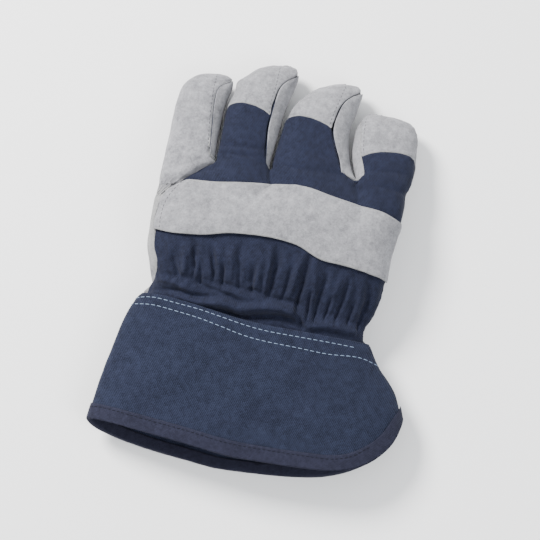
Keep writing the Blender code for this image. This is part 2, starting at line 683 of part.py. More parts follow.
def cloth_rows(column):
    """The y of each of the back's rows at a column: the crotch, the strap's stretch, the gathers."""
    edge = cuff_edge("top", math.pi * (1 - column / (3 * TOP_COLUMNS)))
    rows = [share * GLOVE_LENGTH for share in [CROTCH_Y] + CLOTH_ROWS]
    tuck = edge + WRIST_MARGIN * GLOVE_LENGTH
    rows = [row if row > tuck + WRIST_MARGIN * GLOVE_LENGTH else None for row in rows]
    known = [row for row in rows if row is not None]
    missing = len(rows) - len(known)
    rows = known + [mix(known[-1], tuck, (i + 1) / (missing + 1)) for i in range(missing)]
    return rows + [tuck, edge - 0.3 * CUFF_LAP, edge - CUFF_LAP]


def make_back():
    shell = Shell()
    columns = 3 * TOP_COLUMNS
    rows = [cloth_rows(column) for column in range(columns + 1)]
    count = len(rows[0])
    for column in range(columns + 1):
        for row in range(count):
            y = rows[column][row]
            if row < count - 2:
                outer, inner = back_point(column, y, 0.0), back_point(column, y, CLOTH_WALL)
            else:
                angle = mix(math.pi, 0.0, column / columns)
                depth = CUFF_WALL + PIECE_GAP * 1.6
                outer, inner = cuff_point(y, angle, depth), cuff_point(y, angle, depth + CLOTH_WALL)
            if row == 0 and column in (0, TOP_COLUMNS, 2 * TOP_COLUMNS):
                outer[1] -= LEATHER_WALL + PIECE_GAP
                inner[1] -= LEATHER_WALL + PIECE_GAP
            shell.add(("body", row, column), outer, inner)
    for row in range(count - 1):
        for column in range(columns):
            a, b = ("body", row, column), ("body", row, column + 1)
            c, d = ("body", row + 1, column + 1), ("body", row + 1, column)
            shell.face(a, d, c, b)
    for order, name in enumerate(("middle", "ring", "little")):
        for row in range(1, 5):
            for i in range(TOP_COLUMNS + 1):
                outer, inner = (top_point(name, row, i, depth) for depth in (0.0, CLOTH_WALL))
                shell.add((name, row, i), outer, inner)
        for row in range(4):
            for i in range(TOP_COLUMNS):
                first = order * TOP_COLUMNS
                low = [(name, row, i), (name, row, i + 1)]
                if row == 0:
                    low = [("body", 0, first + i), ("body", 0, first + i + 1)]
                high = [(name, row + 1, i), (name, row + 1, i + 1)]
                shell.face(high[0], low[0], low[1], high[1])
    shell.pull_in(PIECE_GAP / 2)
    return shell.mesh("back_cloth")


def top_point(name, row, i, depth):
    """A point of a finger's back; the cap's edge bows towards the tip."""
    share = i / TOP_COLUMNS
    back_left, back_right = seam_angles(name, row)[:2]
    bow = CAP_BOW_ROWS.get(row, 0.0) * CAP_BOW * 4 * share * (1 - share)
    y = min(finger_rows(name)[row] + bow, FINGERS[name]["tip_y"] * GLOVE_LENGTH)
    return finger_point(name, y, mix(back_left, back_right, share), depth)


def make_fingertip(name):
    shell = Shell()
    rows = range(4, len(finger_rows(name)))
    for row in rows:
        for i in range(TOP_COLUMNS + 1):
            shell.add((row, i), top_point(name, row, i, 0.0), top_point(name, row, i, LEATHER_WALL))
    for row in rows[:-1]:
        for i in range(TOP_COLUMNS):
            shell.face((row + 1, i), (row, i), (row, i + 1), (row + 1, i + 1))
    shell.pull_in(PIECE_GAP / 2)
    return shell.mesh("fingertip_" + name)


def make_fourchette(left, right):
    """The strip between two fingers: down one finger's side, round the crotch and up the other's."""
    shell = Shell()
    path = [(left, row) for row in range(LAST_SIDE_ROW, 0, -1)] + [(None, 0)]
    path += [(right, row) for row in range(1, LAST_SIDE_ROW + 1)]
    order = list(FINGERS).index(left)
    for step, (name, row) in enumerate(path):
        for i in range(SIDE_COLUMNS + 1):
            share = i / SIDE_COLUMNS
            if name is None:
                crotch = CROTCH_Y * GLOVE_LENGTH
                up_middle, up_half = body_ring(crotch)[2:]
                reach = ring_point(math.radians(CROTCH_DEGREES), FINGER_POWER)[1] * up_half
                x = CROTCHES[order] * GLOVE_WIDTH
                outer = np.array([x, crotch, up_middle + mix(reach, -reach, share)])
                low = reach - 0.8 * LEATHER_WALL
                inner = np.array([x, crotch - LEATHER_WALL, up_middle + mix(low, -low, share)])
            else:
                back_left, back_right, palm_left, palm_right = seam_angles(name, row)
                first, last = back_left, palm_left
                if name == left:
                    first, last = back_right, palm_right - 2 * math.pi
                angle = mix(first, last, share)
                y = finger_rows(name)[row]
                outer, inner = (finger_point(name, y, angle, depth) for depth in (0.0, LEATHER_WALL))
            shell.add((step, i), outer, inner)
    for step in range(len(path) - 1):
        for i in range(SIDE_COLUMNS):
            shell.face((step, i), (step + 1, i), (step + 1, i + 1), (step, i + 1))
    shell.pull_in(PIECE_GAP / 2)
    return shell.mesh(f"fourchette_{left}_{right}")


def make_thumb():
    shell = Shell()
    rings, angles = thumb_rings(), thumb_angles()
    count = len(angles)
    for row, ring in enumerate(rings):
        for i, angle in enumerate(angles):
            shell.add((row, i), thumb_point(ring, angle, 0.0), thumb_point(ring, angle, LEATHER_WALL))
    _, axis, _ = thumb_frame()
    last = rings[-1]
    tip = last[0] + np.append(axis, 0) * 0.004 * GLOVE_LENGTH
    shell.add("tip", tip, tip - np.append(axis, 0) * LEATHER_WALL)
    for row in range(len(rings) - 1, 0, -1):
        for i in range(count):
            back = np.append(axis, 0) * LEATHER_WALL * ease((row - 6) / 6)
            shell.inner[(row, i)] = shell.inner[(row, i)] - back
    for row in range(len(rings) - 1):
        for i in range(count):
            j = (i + 1) % count
            shell.face((row, i), (row, j), (row + 1, j), (row + 1, i))
    for i in range(count):
        shell.face((len(rings) - 1, i), (len(rings) - 1, (i + 1) % count), "tip")
    return shell.mesh("thumb")


def make_cuff():
    shell = Shell()
    for i in range(CUFF_COLUMNS):
        angle = 2 * math.pi * i / CUFF_COLUMNS
        mouth, top = cuff_edge("mouth", angle), cuff_edge("top", angle)
        for row in range(CUFF_ROWS + 1):
            y = mix(mouth, top, row / CUFF_ROWS)
            shell.add((row, i), cuff_point(y, angle, 0.0), cuff_point(y, angle, CUFF_WALL))
    for row in range(CUFF_ROWS):
        for i in range(CUFF_COLUMNS):
            j = (i + 1) % CUFF_COLUMNS
            shell.face((row, i), (row + 1, i), (row + 1, j), (row, j))
    return shell.mesh("cuff")


def make_binding():
    """A folded band round the cuff's mouth, square to that edge wherever it turns."""
    angles = [2 * math.pi * i / CUFF_COLUMNS for i in range(CUFF_COLUMNS)]
    fine = [2 * math.pi * i / 720 for i in range(-180, 901)]
    points = [cuff_point(0.08 * GLOVE_LENGTH, angle, 0.0) for angle in fine]
    steps = [np.linalg.norm(b - a) for a, b in zip(points, points[1:])]
    lengths = np.concatenate([[0.0], np.cumsum(steps)])
    place = [float(np.interp(angle, fine, lengths)) for angle in angles]
    thick, wall, inner = BINDING_THICKNESS, CUFF_WALL, 0.7 * BINDING_REACH
    step = 2 * math.pi / 720
    sections = []
    for angle, u in zip(angles, place):
        mouth = cuff_edge("mouth", angle)
        rise = cuff_edge("mouth", angle + 4 * step) - cuff_edge("mouth", angle - 4 * step)
        run = float(np.interp(angle + 4 * step, fine, lengths))
        run -= float(np.interp(angle - 4 * step, fine, lengths))
        across, up = -rise / math.hypot(rise, run), run / math.hypot(rise, run)
        turn = min(angle, 2 * math.pi - angle)
        gap = PIECE_GAP * (1.3 + 3.4 * math.exp(-((turn / 0.45) ** 2)))
        edge = 1.3 * PIECE_GAP
        reach = BINDING_REACH
        under = -wall - gap
        profile = [
            (gap + thick, reach), (gap, reach), (gap, 0.5 * reach), (gap, -edge),
            (under, -edge), (under, 0.5 * inner), (under, inner),
            (under - thick, inner), (under - thick, 0.5 * inner), (under - thick, -edge - thick),
            (gap + thick, -edge - thick), (gap + thick, 0.5 * reach),
        ]
        section = []
        for out, inward in profile:
            turned = float(np.interp(u + across * inward, lengths, fine))
            section.append(cuff_point(mouth + up * inward, turned, -out))
        sections.append(section)
    count, sides = len(sections), len(sections[0])
    points = [point for section in sections for point in section]
    faces = []
    for i in range(count):
        for j in range(sides):
            a, b = i * sides + j, i * sides + (j + 1) % sides
            c, d = (i + 1) % count * sides + (j + 1) % sides, (i + 1) % count * sides + j
            faces.append([a, b, c, d])
    return make_object("cuff_binding", points, faces)


def make_strap():
    """The knuckle strap, laid on the cloth from the thumb side's seam to the little finger's side."""
    shell = Shell()
    columns, rows = 3 * TOP_COLUMNS, 4
    for column in range(columns + 1):
        y = STRAP_MIDDLE * GLOVE_LENGTH
        x = cloth_point(column, y, 0.0)[0] / GLOVE_WIDTH
        edges = []
        for edge in ("lower", "upper"):
            y = along(STRAP["x"], STRAP[edge], x) * GLOVE_LENGTH
            for _ in range(3):
                x = cloth_point(column, y, 0.0)[0] / GLOVE_WIDTH
                y = along(STRAP["x"], STRAP[edge], x) * GLOVE_LENGTH
            edges.append(y)
        for row in range(rows + 1):
            y = mix(edges[0], edges[1], row / rows)
            shell.add(
                (row, column),
                back_point(column, y, -1.6 * PIECE_GAP - STRAP_THICKNESS),
                back_point(column, y, -1.6 * PIECE_GAP),
            )
    for row in range(rows):
        for column in range(columns):
            shell.face((row, column), (row, column + 1), (row + 1, column + 1), (row + 1, column))
    shell.pull_in(PIECE_GAP / 2)
    return shell.mesh("knuckle_strap")


def material(name):
    colour, roughness = COLOURS[name]
    made = bpy.data.materials.new(name)
    made.use_nodes = True
    shader = made.node_tree.nodes["Principled BSDF"]
    shader.inputs["Base Color"].default_value = (*colour, 1.0)
    shader.inputs["Roughness"].default_value = roughness
    shader.inputs["Metallic"].default_value = 0.0
    return made


def main():
    for obj in list(bpy.data.objects):
        bpy.data.objects.remove(obj, do_unlink=True)
    leather, cloth, hem = material("leather"), material("cloth"), material("hem")
    pieces = [(make_palm(), leather), (make_thumb(), leather), (make_back(), cloth)]
    pieces += [(make_fingertip(name), leather) for name in ("middle", "ring", "little")]
    names = list(FINGERS)
    pieces += [(make_fourchette(a, b), leather) for a, b in zip(names, names[1:])]
    pieces += [(make_strap(), leather), (make_cuff(), cloth), (make_binding(), hem)]
    low = np.full(3, np.inf)
    high = np.full(3, -np.inf)
    for obj, _ in pieces:
        for vertex in obj.data.vertices:
            low = np.minimum(low, vertex.co)
            high = np.maximum(high, vertex.co)
    # The origin is under the middle of the glove, on the surface it lies on.
    shift = np.array([-(low[0] + high[0]) / 2, -(low[1] + high[1]) / 2, -low[2]])
    for obj, made in pieces:
        for vertex in obj.data.vertices:
            vertex.co = vertex.co + type(vertex.co)(shift)
        obj.data.materials.append(made)


main()
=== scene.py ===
import math

import bmesh
import bpy
import numpy as np
from mathutils import Matrix, Vector
from mathutils.bvhtree import BVHTree
from mathutils.kdtree import KDTree


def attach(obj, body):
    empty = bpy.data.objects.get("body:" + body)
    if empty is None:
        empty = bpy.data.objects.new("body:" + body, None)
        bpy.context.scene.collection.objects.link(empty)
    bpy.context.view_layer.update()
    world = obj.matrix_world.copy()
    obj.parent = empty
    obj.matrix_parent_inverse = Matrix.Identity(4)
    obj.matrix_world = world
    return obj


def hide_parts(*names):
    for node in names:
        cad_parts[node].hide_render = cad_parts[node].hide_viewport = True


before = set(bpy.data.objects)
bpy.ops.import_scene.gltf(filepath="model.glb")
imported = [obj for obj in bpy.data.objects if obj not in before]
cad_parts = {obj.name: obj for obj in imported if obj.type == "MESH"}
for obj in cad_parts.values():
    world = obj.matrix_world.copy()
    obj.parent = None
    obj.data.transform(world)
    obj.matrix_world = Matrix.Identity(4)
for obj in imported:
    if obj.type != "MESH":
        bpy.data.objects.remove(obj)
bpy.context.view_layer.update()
print("loaded", len(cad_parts), "pieces")


# helpers for shapes

def smooth(t):
    t = np.clip(t, 0.0, 1.0)
    return t * t * (3 - 2 * t)


def hump(value, middle, width):
    return np.exp(-(((value - middle) / width) ** 2))


def ripples(points, length, seed, count=12):
    # soft bumps about this long, between -1 and 1 or so
    rng = np.random.default_rng(seed)
    total = np.zeros(len(points))
    for _ in range(count):
        direction = rng.normal(size=3)
        direction /= np.linalg.norm(direction)
        pitch = 2 * math.pi / (length * rng.uniform(0.7, 1.7))
        total += np.sin(points @ direction * pitch + rng.uniform(0, 2 * math.pi))
    return total / math.sqrt(count / 2) * 0.6


def waves(points, rows):
    # each row is a height and a length in mm, and a seed
    return sum(height * 1e-3 * ripples(points, length * 1e-3, seed) for height, length, seed in rows)


def puckers(points, gap, height, length, seed, reach):
    # small bumps that die away from the seams, all sizes in mm
    return height * 1e-3 * ripples(points, length * 1e-3, seed) * hump(gap, 0, reach * 1e-3)


def foldHeights(points, folds, taper=0.0, bend=0.0):
    # each fold is a crease or ridge seen from above that fades towards its ends
    # taper narrows it along the way, and bend makes its line waver by so many metres
    total = np.zeros(len(points))
    points = points.copy()
    if bend:
        points[:, 0] += bend * ripples(points, 0.02, 71)
        points[:, 1] += bend * ripples(points, 0.024, 72)
    for x0, y0, x1, y1, height, width in folds:
        start, end = np.array([x0, y0]), np.array([x1, y1])
        run = end - start
        length = np.linalg.norm(run)
        offset = points[:, :2] - start
        t = offset @ run / length**2
        across = (offset[:, 0] * run[1] - offset[:, 1] * run[0]) / length
        ends = smooth((t + 0.25) / (0.4 + 0.5 * taper)) * smooth((1.25 - t) / 0.4)
        wide = width * 1e-3 * (1 + taper * (0.7 - 1.2 * np.clip(t, 0, 1)))
        total += height * 1e-3 * np.exp(-((across / wide) ** 2)) * ends
    return total


def surfaceOf(*pieces):
    verts, faces = [], []
    for piece in pieces:
        start = len(verts)
        verts += [vert.co.copy() for vert in piece.data.vertices]
        faces += [[start + index for index in face.vertices] for face in piece.data.polygons]
    return BVHTree.FromPolygons(verts, faces)


wall = {
    "quadBend": 0.75,  # radians, the most that two triangles may bend where they are joined into a quad
    "quadSkew": 1.3,  # radians, the most that a quad's corners may stray from square
    "rays": 24,  # cast from each face to see how open it lies
    "lowestRay": 0.15,  # sine of the lowest ray's rise above the face
    "sharpEdge": 0.85,  # radians between two faces that belong to different sides of the wall
    "edgeShare": 0.06,  # of the piece's area, below which a side is taken for its cut edge
    "openShare": 0.2,  # of the sky, above which a side is an outside
    "sharpCorner": 2.1,  # radians between two creases that meet in a sharp corner
    "foldAngle": 0.9,  # radians between two faces along a folded edge of a piece that isn't hollow
    "foldCrease": 0.8,
    "edgeBulge": 0.5,  # mm that a cut edge is rounded out
    "innerFollow": 0.85,  # the share of the folds that shows on the inside
    "innerFloor": 1.5,  # mm above the floor, below which the inside doesn't go
}
gloveTree = surfaceOf(*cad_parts.values())
halfSphere = []
for step in range(wall["rays"]):
    rise = wall["lowestRay"] + (1 - wall["lowestRay"]) * (step + 0.5) / wall["rays"]
    reach = math.sqrt(1 - rise * rise)
    turn = 2.4 * step
    halfSphere.append((reach * math.cos(turn), reach * math.sin(turn), rise))


def openness(face):
    # the share of the sky that a face sees past the rest of the glove
    along = face.normal.orthogonal().normalized()
    across = face.normal.cross(along)
    start = face.calc_center_median() + face.normal * 3e-4
    rays = [along * ray[0] + across * ray[1] + face.normal * ray[2] for ray in halfSphere]
    return sum(gloveTree.ray_cast(start, ray)[3] is None for ray in rays) / len(rays)


def smoothParts(work, sharp):
    # the faces in groups that no sharp edge parts
    seen, parts = set(), []
    for first in work.faces:
        if first in seen:
            continue
        part, queue = [], [first]
        seen.add(first)
        while queue:
            face = queue.pop()
            part.append(face)
            for edge in face.edges:
                if edge.calc_face_angle(math.pi) > sharp:
                    continue
                for other in edge.link_faces:
                    if other not in seen:
                        seen.add(other)
                        queue.append(other)
        parts.append(part)
    return parts


def wallMesh(node, hollow):
    # the CAD wall as a quad cage: material 0 on its outside, 1 on its inside and 2 along its edges
    work = bmesh.new()
    work.from_mesh(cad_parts[node].data)
    bmesh.ops.remove_doubles(work, verts=work.verts, dist=1e-6)
    limits = {"angle_face_threshold": wall["quadBend"], "angle_shape_threshold": wall["quadSkew"]}
    bmesh.ops.join_triangles(work, faces=work.faces, **limits)
    work.normal_update()
    crease = work.edges.layers.float.new("crease_edge")
    if not hollow:
        for edge in work.edges:
            if edge.calc_face_angle(0) > wall["foldAngle"]:
                edge[crease] = wall["foldCrease"]
        return work
    whole = sum(face.calc_area() for face in work.faces)
    small = []
    for part in smoothParts(work, wall["sharpEdge"]):
        area = sum(face.calc_area() for face in part)
        if area < wall["edgeShare"] * whole:
            small.append(part)
            kind = 2
        else:
            seen = sum(openness(face) * face.calc_area() for face in part)
            kind = 0 if seen > wall["openShare"] * area else 1
        for face in part:
            face.material_index = kind
    # a small part between faces of one kind only is of that kind too
    for part in small:
        beside = {other.material_index for face in part for edge in face.edges for other in edge.link_faces}
        if beside - {2} in ({0}, {1}):
            for face in part:
                face.material_index = min(beside)
    for edge in work.edges:
        if len({face.material_index for face in edge.link_faces}) > 1:
            edge[crease] = 1.0
    corner = work.verts.layers.float.new("crease_vert")
    for vert in work.verts:
        ways = [edge.other_vert(vert).co - vert.co for edge in vert.link_edges if edge[crease] == 1.0]
        if len(ways) == 2 and ways[0].angle(ways[1]) < wall["sharpCorner"]:
            vert[corner] = 1.0
    return work


def refine(work, name, levels, keep):
    # the cage subdivided and, where keep is below 1, thinned to that share of its triangles
    mesh = bpy.data.meshes.new(name + "Cage")
    work.to_mesh(mesh)
    work.free()
    cage = bpy.data.objects.new(name + "Cage", mesh)
    bpy.context.scene.collection.objects.link(cage)
    for _ in range(3):
        mesh.materials.append(None)
    modifier = cage.modifiers.new("Subdivision", "SUBSURF")
    modifier.levels = modifier.render_levels = levels
    modifier.use_limit_surface = False
    modifier.boundary_smooth = "ALL"
    if keep < 1:
        cage.modifiers.new("Decimate", "DECIMATE").ratio = keep
    done = cage.evaluated_get(bpy.context.evaluated_depsgraph_get())
    shape = bpy.data.meshes.new_from_object(done)
    shape.name = name
    bpy.data.objects.remove(cage)
    piece = bpy.data.objects.new(name, shape)
    bpy.context.scene.collection.objects.link(piece)
    return piece


def arrays(mesh):
    # its points and normals, and which points lie on the outside, on the inside and on the edges
    points = np.empty(len(mesh.vertices) * 3)
    mesh.vertices.foreach_get("co", points)
    normals = np.empty(len(mesh.vertices) * 3)
    mesh.vertex_normals.foreach_get("vector", normals)
    side = np.empty(len(mesh.polygons), dtype=np.int32)
    mesh.polygons.foreach_get("material_index", side)
    starts = np.empty(len(mesh.polygons), dtype=np.int32)
    mesh.polygons.foreach_get("loop_start", starts)
    corners = np.empty(len(mesh.loops), dtype=np.int32)
    mesh.loops.foreach_get("vertex_index", corners)
    ownerOf = np.repeat(np.arange(len(starts)), np.diff(np.append(starts, len(corners))))
    on = [np.zeros(len(mesh.vertices), bool) for _ in range(3)]
    for kind in range(3):
        on[kind][corners[side[ownerOf] == kind]] = True
    return points.reshape(-1, 3), normals.reshape(-1, 3), on


def edgeDistance(points, outside, border):
    # how far each outer point lies from the seams, and a metre where there are none
    distance = np.full(len(points), 1.0)
    if not border.any():
        return distance
    tree = KDTree(int(border.sum()))
    for index in np.nonzero(border)[0]:
        tree.insert(points[index], int(index))
    tree.balance()
    for index in np.nonzero(outside)[0]:
        distance[index] = tree.find(points[index])[2]
    return distance


def relief(points, gap, shape):
    lift = waves(points, shape["waves"])
    if "pucker" in shape:
        lift = lift + puckers(points, gap, *shape["pucker"])
    return lift + foldHeights(points, shape.get("folds", []))


def dress(node, name, shape):
    # a piece in the CAD node's place: its cage made smooth, its seams rolled under and its folds raised
    levels = shape["levels"]
    piece = refine(wallMesh(node, shape.get("hollow", True)), name, levels, shape.get("keep", 1.0))
    mesh = piece.data
    points, normals, on = arrays(mesh)
    outside, inside, edges = on
    within = inside & ~outside
    gap = edgeDistance(points, outside, outside & edges)
    lift = relief(points, gap, shape)
    if "detail" in shape:
        lift = shape["detail"](points, lift)
    roll = -shape["rollDepth"] * 1e-3 * np.clip(1 - gap / (shape["rollWidth"] * 1e-3), 0, 1) ** 2
    move = np.where(outside, roll + lift, 0.0)
    move += np.where(edges & ~outside & ~inside, wall["edgeBulge"] * 1e-3, 0.0)
    move -= np.where(within, wall["innerFollow"] * lift, 0.0)
    points = points + normals * move[:, None]
    points = points + shape["shift"](points)
    lowest = np.where(within & ~edges, wall["innerFloor"] * 1e-3, 0.0)
    points[:, 2] = np.maximum(points[:, 2], lowest)
    mesh.vertices.foreach_set("co", points.ravel())
    for index, material in enumerate(shape["materials"]):
        mesh.materials[index] = material
    mesh.update()
    mesh.shade_smooth()
    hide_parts(node)
    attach(piece, "root")
    print(name, len(mesh.polygons), "faces")
    return piece


# helpers for materials

def newGroup(name, inputs, outputs, kind="ShaderNodeTree"):
    group = bpy.data.node_groups.new(name, kind)
    for label, socketType, value in inputs:
        socket = group.interface.new_socket(label, in_out="INPUT", socket_type=socketType)
        if value is not None:
            socket.default_value = value
    for label, socketType in outputs:
        group.interface.new_socket(label, in_out="OUTPUT", socket_type=socketType)
    return group, group.nodes.new("NodeGroupInput"), group.nodes.new("NodeGroupOutput")


def feed(group, value, socket):
    # a number is set on the socket, and an output is linked to it
    if isinstance(value, (int, float)):
        socket.default_value = value
    else:
        group.links.new(value, socket)


def mathNode(group, operation, first, second=0.5):
    node = group.nodes.new("ShaderNodeMath")
    node.operation = operation
    feed(group, first, node.inputs[0])
    feed(group, second, node.inputs[1])
    return node.outputs[0]


def addParts(group, *parts):
    # outputs, each times its share, added up
    total = None
    for value, share in parts:
        part = mathNode(group, "MULTIPLY", value, share)
        total = part if total is None else mathNode(group, "ADD", total, part)
    return total


def noiseNode(group, vector, scale, detail, roughness, distortion=0.0):
    node = group.nodes.new("ShaderNodeTexNoise")
    group.links.new(vector, node.inputs["Vector"])
    feed(group, scale, node.inputs["Scale"])
    node.inputs["Detail"].default_value = detail
    node.inputs["Roughness"].default_value = roughness
    node.inputs["Distortion"].default_value = distortion
    return node.outputs["Fac"]


def bumpNode(group, height, strength, distance):
    node = group.nodes.new("ShaderNodeBump")
    group.links.new(height, node.inputs["Height"])
    group.links.new(strength, node.inputs["Strength"])
    node.inputs["Distance"].default_value = distance
    return node.outputs["Normal"]


def suedeGroup():
    # the brushed nap of split leather: cloudy shading, short fibres and pits
    group, entry, leave = newGroup(
        "suedeNap",
        [("Vector", "NodeSocketVector", None), ("Cloud Size", "NodeSocketFloat", 70.0),
         ("Fibre Size", "NodeSocketFloat", 900.0), ("Nap Depth", "NodeSocketFloat", 0.6)],
        [("Tone", "NodeSocketFloat"), ("Normal", "NodeSocketVector")],
    )
    place, cloudSize = entry.outputs["Vector"], entry.outputs["Cloud Size"]
    cloud = noiseNode(group, place, cloudSize, 4.0, 0.6, 0.4)
    fibre = noiseNode(group, place, entry.outputs["Fibre Size"], 5.0, 0.7, 0.8)
    blotch = noiseNode(group, place, mathNode(group, "MULTIPLY", cloudSize, 4.2), 4.0, 0.65)
    tone = addParts(group, (cloud, 0.28), (blotch, 0.34), (fibre, 0.38))
    group.links.new(tone, leave.inputs["Tone"])
    height = addParts(group, (fibre, 0.5), (blotch, 0.7))
    bump = bumpNode(group, height, entry.outputs["Nap Depth"], 0.0006)
    group.links.new(bump, leave.inputs["Normal"])
    return group


def twillGroup():
    # slanting ribs of a twill with slubby threads across them
    group, entry, leave = newGroup(
        "twillWeave",
        [("Vector", "NodeSocketVector", None), ("Ribs per Metre", "NodeSocketFloat", 950.0),
         ("Slub Size", "NodeSocketFloat", 260.0), ("Depth", "NodeSocketFloat", 0.4)],
        [("Tone", "NodeSocketFloat"), ("Normal", "NodeSocketVector")],
    )
    place, ribCount = entry.outputs["Vector"], entry.outputs["Ribs per Metre"]
    split = group.nodes.new("ShaderNodeSeparateXYZ")
    group.links.new(place, split.inputs[0])
    x, y, z = split.outputs
    slant = addParts(group, (x, 1.0), (y, 0.72), (z, 0.4))
    turn = mathNode(group, "MULTIPLY", slant, mathNode(group, "MULTIPLY", ribCount, 2 * math.pi))
    across = mathNode(group, "MULTIPLY", y, mathNode(group, "MULTIPLY", ribCount, 9.0))
    wobble = noiseNode(group, place, entry.outputs["Slub Size"], 4.0, 0.6)
    rib = mathNode(group, "SINE", addParts(group, (turn, 1.0), (wobble, 7.0)))
    weft = mathNode(group, "SINE", addParts(group, (across, 1.0), (wobble, 9.0)))
    fuzz = noiseNode(group, place, 1500.0, 3.0, 0.7)
    cloud = noiseNode(group, place, 45.0, 3.0, 0.5)
    tone = addParts(group, (rib, 0.10), (weft, 0.05), (fuzz, 0.52), (wobble, 0.34), (cloud, 0.14))
    group.links.new(tone, leave.inputs["Tone"])
    height = addParts(group, (rib, 0.35), (weft, 0.2), (fuzz, 0.9))
    bump = bumpNode(group, height, entry.outputs["Depth"], 0.0003)
    group.links.new(bump, leave.inputs["Normal"])
    return group


def clothLike(name, group, values, dark, light, look):
    material = bpy.data.materials.new(name)
    material.use_nodes = True
    tree = material.node_tree
    shader = tree.nodes["Principled BSDF"]
    place = tree.nodes.new("ShaderNodeTexCoord")
    effect = tree.nodes.new("ShaderNodeGroup")
    effect.node_tree = group
    tree.links.new(place.outputs["Object"], effect.inputs["Vector"])
    for label, value in values.items():
        effect.inputs[label].default_value = value
    ramp = tree.nodes.new("ShaderNodeValToRGB")
    first, last = ramp.color_ramp.elements
    first.position, last.position = 0.34, 0.66
    first.color, last.color = (*dark, 1), (*light, 1)
    tree.links.new(effect.outputs["Tone"], ramp.inputs["Fac"])
    tree.links.new(ramp.outputs["Color"], shader.inputs["Base Color"])
    tree.links.new(effect.outputs["Normal"], shader.inputs["Normal"])
    for label, value in look.items():
        shader.inputs[label].default_value = value
    return material


suede, twill = suedeGroup(), twillGroup()
leatherLook = {"Roughness": 0.95, "Specular IOR Level": 0.15, "Sheen Weight": 0.12, "Sheen Roughness": 0.6}
clothLook = {"Roughness": 0.9, "Specular IOR Level": 0.15, "Sheen Weight": 0.03, "Sheen Roughness": 0.5}
backLeather = clothLike("backLeather", suede, {"Cloud Size": 60.0, "Fibre Size": 850.0, "Nap Depth": 0.5},
                        (0.094, 0.094, 0.104), (0.303, 0.303, 0.322), leatherLook)
palmLeather = clothLike("palmLeather", suede, {"Cloud Size": 75.0, "Fibre Size": 700.0, "Nap Depth": 0.8},
                        (0.09, 0.09, 0.101), (0.30, 0.30, 0.32), leatherLook)
rawEdge = clothLike("rawEdge", suede, {"Cloud Size": 200.0, "Fibre Size": 1400.0, "Nap Depth": 0.9},
                    (0.15, 0.15, 0.155), (0.28, 0.28, 0.285), leatherLook)
navyCloth = clothLike("navyCloth", twill, {"Ribs per Metre": 900.0, "Slub Size": 300.0, "Depth": 0.5},
                      (0.0025, 0.0031, 0.0085), (0.0155, 0.0190, 0.0410), clothLook)
cuffCloth = clothLike("cuffCloth", twill, {"Ribs per Metre": 760.0, "Slub Size": 240.0, "Depth": 0.6},
                      (0.0034, 0.0045, 0.0115), (0.0195, 0.0245, 0.0490), clothLook)
hemCloth = clothLike("hemCloth", twill, {"Ribs per Metre": 1100.0, "Slub Size": 350.0, "Depth": 0.5},
                     (0.0055, 0.0058, 0.0130), (0.0215, 0.0225, 0.0420), clothLook)
lining = clothLike("lining", twill, {"Ribs per Metre": 700.0, "Slub Size": 200.0, "Depth": 0.8},
                   (0.006, 0.008, 0.018), (0.014, 0.018, 0.038), clothLook)


def plain(name, colour, roughness):
    material = bpy.data.materials.new(name)
    material.use_nodes = True
    shader = material.node_tree.nodes["Principled BSDF"]
    shader.inputs["Base Color"].default_value = (*colour, 1)
    shader.inputs["Roughness"].default_value = roughness
    shader.inputs["Specular IOR Level"].default_value = 0.2
    return material


paleThread = plain("paleThread", (0.17, 0.22, 0.31), 0.7)
greyThread = plain("greyThread", (0.07, 0.07, 0.078), 0.8)
navyThread = plain("navyThread", (0.003, 0.0035, 0.009), 0.8)

# the floor, the light and the camera

view = {
    "elevation": 81.0,  # degrees above the floor, from the cuff's side
    "roll": 8.2,  # the glove leans this far clockwise in the picture
    "lens": 150.0,
    "distance": 1.42,
    "aim": (0.002, -0.003, 0.018),
}
camera = bpy.data.cameras.new("camera")
camera.lens = view["lens"]
camera.sensor_width = 36
cameraObject = bpy.data.objects.new("camera", camera)
bpy.context.scene.collection.objects.link(cameraObject)
tilt = math.radians(view["elevation"])
eye = Vector(view["aim"]) + Vector((0, -math.cos(tilt), math.sin(tilt))) * view["distance"]
look = Matrix.Rotation(math.radians(90) - tilt, 4, "X") @ Matrix.Rotation(math.radians(view["roll"]), 4, "Z")
cameraObject.matrix_world = Matrix.Translation(eye) @ look
bpy.context.scene.camera = cameraObject

studio = {
    "floorHalf": 6.0,  # half its width in metres
    "floorColour": (0.95, 0.95, 0.955),
    "floorRoughness": 0.8,
    "skyColour": (0.96, 0.98, 1.0),
    "skyStrength": 1.2,
    # where each light stands, how wide it is, its watts and its colour
    "lights": {
        "keyLight": ((-0.95, 0.75, 1.0), 0.55, 66.0, (1.0, 0.99, 0.97)),
        "fillLight": ((0.9, -0.6, 1.1), 0.9, 11.0, (0.96, 0.98, 1.0)),
    },
}
half = studio["floorHalf"]
floorMesh = bpy.data.meshes.new("floor")
floorCorners = [(-half, -half, 0), (half, -half, 0), (half, half, 0), (-half, half, 0)]
floorMesh.from_pydata(floorCorners, [], [(0, 1, 2, 3)])
floor = bpy.data.objects.new("floor", floorMesh)
bpy.context.scene.collection.objects.link(floor)
floorMesh.materials.append(plain("floorWhite", studio["floorColour"], studio["floorRoughness"]))

world = bpy.data.worlds.new("studio")
world.use_nodes = True
sky = world.node_tree.nodes["Background"]
sky.inputs["Color"].default_value = (*studio["skyColour"], 1)
sky.inputs["Strength"].default_value = studio["skyStrength"]
bpy.context.scene.world = world


